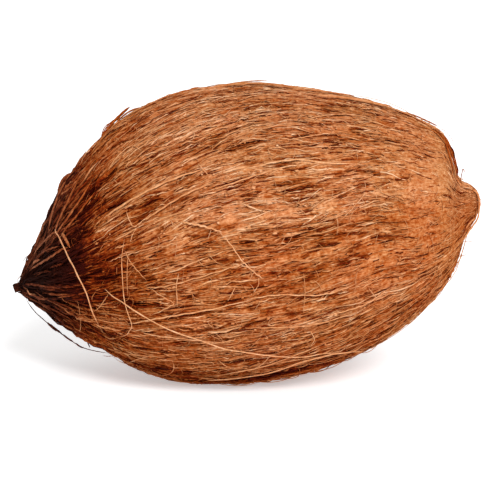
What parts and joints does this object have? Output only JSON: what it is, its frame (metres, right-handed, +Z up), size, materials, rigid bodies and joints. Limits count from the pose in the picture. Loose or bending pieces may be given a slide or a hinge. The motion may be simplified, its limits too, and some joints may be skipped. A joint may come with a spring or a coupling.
{
  "type": "coconut",
  "caption": "Mature coconut lying on its side, pointed at the stem end and blunt at the crown, its shell wrapped in dry coir fibre; rests on a small flat spot.",
  "frame": {"origin": "on the resting surface, under the middle of the bounding box", "axes": "+X from the pointed stem end to the blunt crown end, +Z up from the resting surface"},
  "size_m": [0.1768, 0.1132, 0.112],
  "materials": {
    "coir_husk": "dry matte coir fibre, rough and unpolished"
  },
  "bodies": {
    "root": {"coconut": "coir_husk"}
  },
  "joints": []
}
